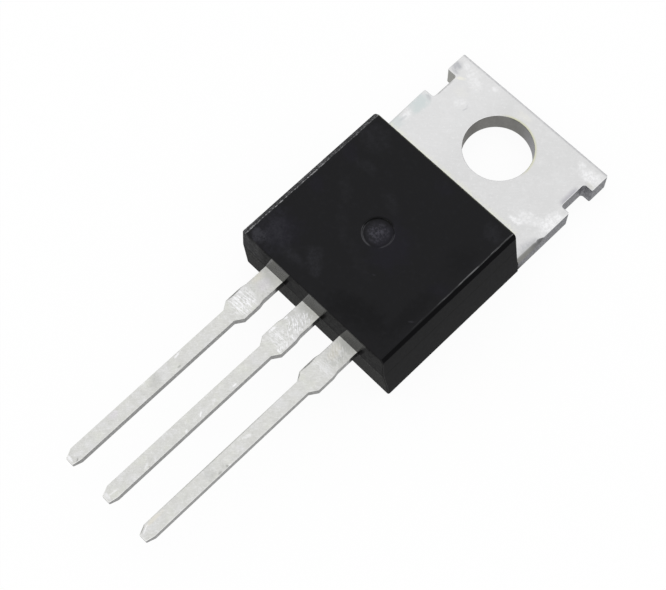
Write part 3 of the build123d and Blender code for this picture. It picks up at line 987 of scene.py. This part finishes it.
class REGULATOR_OT_side_leads(bpy.types.Operator):
    """The two outer leads: edges rounded, faces tinned"""

    bl_idname = "regulator.side_leads"
    bl_label = "Side leads"

    def execute(self, context):
        metal = context.scene.regulator_metal
        finish = lead_finish(metal)
        for node_name, name in (("input_lead", "left_lead"), ("output_lead", "right_lead")):
            skin = merged_copy(node_name)
            split_across(skin, LEAD_CUT)
            set_radii(skin, lambda edge: lead_radius(edge, metal), metal.stub_radius)
            add_piece(name, skin, node_name, [finish], metal.stub_radius)
        return {"FINISHED"}


class REGULATOR_OT_body(bpy.types.Operator):
    """The epoxy body: edges rounded, mark in the top face"""

    bl_idname = "regulator.body"
    bl_label = "Moulded body"

    def execute(self, context):
        epoxy = context.scene.regulator_epoxy
        skin = merged_copy("moulded_body")
        mark_floor = [v for v in skin.verts if abs(v.co.z - (BODY_TOP - MARK_DEPTH)) < CLOSE]
        centre = sum((v.co for v in mark_floor), Vector()) / len(mark_floor)
        mark_radius = (mark_floor[0].co - centre).length
        smooth_ring(skin, centre, mark_radius)

        def radius_of(edge):
            on_top = both(edge, lambda co: co.z > BODY_TOP - CLOSE)
            if on_top and both(edge, lambda co: (co - centre).length < mark_radius * 1.1):
                return MARK_RIM_RADIUS
            if on_top and both(edge, lambda co: co.x < -4 * MM or co.y < BODY_FRONT + 0.1 * MM):
                return epoxy.worn_radius
            if both(edge, lambda co: co.z > BODY_TOP - TOP_EDGE_DEPTH):
                return epoxy.edge_radius
            return 0.0

        def is_parting(edge):
            in_front = both(edge, lambda co: co.y < BODY_FRONT + 0.3 * MM)
            return in_front and both(edge, lambda co: abs(co.z - LEAD_TOP) < CLOSE)

        set_radii(skin, radius_of, epoxy.worn_radius)
        add_piece(
            "epoxy_body", skin, "moulded_body", [epoxy_finish(epoxy)],
            epoxy.worn_radius, is_parting,
        )
        return {"FINISHED"}


class REGULATOR_OT_sealed_parts(bpy.types.Operator):
    """Finishes for the die, its solder and the bond wires, sealed in the body"""

    bl_idname = "regulator.sealed_parts"
    bl_label = "Sealed parts"

    def execute(self, context):
        finishes = {
            "silicon_die": sealed_finish("silicon", linear(74, 78, 92), 0.25, 0.3),
            "die_solder": sealed_finish("soft solder", linear(168, 170, 174), 0.4),
        }
        wire = sealed_finish("aluminium wire", linear(214, 214, 212), 0.3)
        for name in ("input_wire", "output_wire", "ground_wire"):
            finishes[name] = wire
        for name, finish in finishes.items():
            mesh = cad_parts[name].data
            mesh.materials.clear()
            mesh.materials.append(finish)
        return {"FINISHED"}


class REGULATOR_OT_stage(bpy.types.Operator):
    """Pale floor, soft lamps and the camera"""

    bl_idname = "regulator.stage"
    bl_label = "Stage"

    def execute(self, context):
        stage = context.scene.regulator_stage
        self.add_floor(context, stage)
        self.add_light(context, stage)
        self.add_camera(context, stage)
        context.scene.view_settings.view_transform = "Standard"
        return {"FINISHED"}

    def add_floor(self, context, stage):
        """Floor that keeps the part's shadow and is white where it is open."""
        f = Finish("pale floor")
        seen = any_of([
            f.node("ShaderNodeLightPath", output=name)
            for name in ("Is Camera Ray", "Is Glossy Ray", "Is Transmission Ray")
        ])
        plain_white = linear(255, 255, 255)
        lit_colour = f.mix(seen, stage.floor_colour, plain_white)
        lit = f.node("ShaderNodeBsdfDiffuse", None, {"Color": lit_colour})
        white = f.node("ShaderNodeEmission", None, {"Color": plain_white, "Strength": 1.0})
        front = f.mix_shaders(seen * stage.background, lit, white)
        below = f.node("ShaderNodeNewGeometry", output="Backfacing")
        clear = f.node("ShaderNodeBsdfTransparent")
        floor_material = f.done(f.mix_shaders(below, front, clear))

        skin = bmesh.new()
        bmesh.ops.create_grid(skin, x_segments=1, y_segments=1, size=stage.floor_size / 2)
        middle = (0, (BODY_FRONT + TAB_END) / 2, -FLOOR_GAP)
        bmesh.ops.translate(skin, verts=skin.verts, vec=middle)
        mesh = bpy.data.meshes.new("floor")
        skin.to_mesh(mesh)
        skin.free()
        mesh.materials.append(floor_material)
        floor = bpy.data.objects.new("floor", mesh)
        context.scene.collection.objects.link(floor)

    def add_light(self, context, stage):
        """Even room light, with one large lamp behind and to the left."""
        world = bpy.data.worlds.new("room")
        world.use_nodes = True
        tree = world.node_tree
        background = tree.nodes["Background"]
        background.inputs["Color"].default_value = linear(255, 255, 255)
        strength = tree.nodes.new("ShaderNodeMapRange")
        strength.inputs["To Min"].default_value = 1.0
        strength.inputs["To Max"].default_value = stage.world_strength
        path = tree.nodes.new("ShaderNodeLightPath")
        tree.links.new(path.outputs["Is Diffuse Ray"], strength.inputs["Value"])
        tree.links.new(strength.outputs[0], background.inputs["Strength"])
        context.scene.world = world

        data = bpy.data.lights.new("key lamp", "AREA")
        data.shape = "SQUARE"
        data.size = stage.key_size
        data.energy = stage.key_power
        lamp = bpy.data.objects.new("key lamp", data)
        lamp.location = LAMP_TARGET + LAMP_OFFSET
        lamp.rotation_euler = (-LAMP_OFFSET).to_track_quat("-Z", "Y").to_euler()
        context.scene.collection.objects.link(lamp)

    def add_camera(self, context, stage):
        """Camera that looks down at the part from in front of its right corner."""
        azimuth, elevation, roll = stage.camera_azimuth, stage.camera_elevation, stage.camera_roll
        level = Vector((cos(azimuth), sin(azimuth), 0))
        back = Vector((sin(azimuth), -cos(azimuth), 0)) * cos(elevation)
        back.z = sin(elevation)
        rise = back.cross(level)
        right = level * cos(roll) + rise * sin(roll)
        up = rise * cos(roll) - level * sin(roll)
        aim = Vector((stage.aim_x, stage.aim_y, stage.aim_z))
        data = bpy.data.cameras.new("camera")
        data.sensor_width = 36.0
        data.lens = stage.focal_length
        data.clip_start = 1 * MM
        data.clip_end = 10.0
        camera = bpy.data.objects.new("camera", data)
        turn = Matrix((right, up, back)).transposed().to_4x4()
        camera.matrix_world = Matrix.Translation(aim + back * stage.camera_distance) @ turn
        context.scene.collection.objects.link(camera)
        context.scene.camera = camera


class REGULATOR_PT_panel(bpy.types.Panel):
    """Sidebar panel with the regulator's pieces and settings"""

    bl_idname = "REGULATOR_PT_panel"
    bl_label = "Voltage regulator"
    bl_space_type = "VIEW_3D"
    bl_region_type = "UI"
    bl_category = "Regulator"

    def draw(self, context):
        layout = self.layout
        for step in STEPS:
            layout.operator(step.bl_idname)
        for name in GROUPS:
            group = getattr(context.scene, name)
            box = layout.box()
            for setting in group.__annotations__:
                box.prop(group, setting)


STEPS = (
    REGULATOR_OT_tab,
    REGULATOR_OT_side_leads,
    REGULATOR_OT_body,
    REGULATOR_OT_sealed_parts,
    REGULATOR_OT_stage,
)
GROUPS = {
    "regulator_metal": RegulatorMetal,
    "regulator_epoxy": RegulatorEpoxy,
    "regulator_stage": RegulatorStage,
}


def register():
    for name, group in GROUPS.items():
        bpy.utils.register_class(group)
        setattr(bpy.types.Scene, name, bpy.props.PointerProperty(type=group))
    for step in STEPS:
        bpy.utils.register_class(step)
    bpy.utils.register_class(REGULATOR_PT_panel)


def unregister():
    bpy.utils.unregister_class(REGULATOR_PT_panel)
    for step in reversed(STEPS):
        bpy.utils.unregister_class(step)
    for name, group in GROUPS.items():
        delattr(bpy.types.Scene, name)
        bpy.utils.unregister_class(group)


def main():
    """Builds every piece and the stage."""
    register()
    bpy.ops.regulator.tab()
    bpy.ops.regulator.side_leads()
    bpy.ops.regulator.body()
    bpy.ops.regulator.sealed_parts()
    bpy.ops.regulator.stage()


if __name__ == "__main__":
    main()
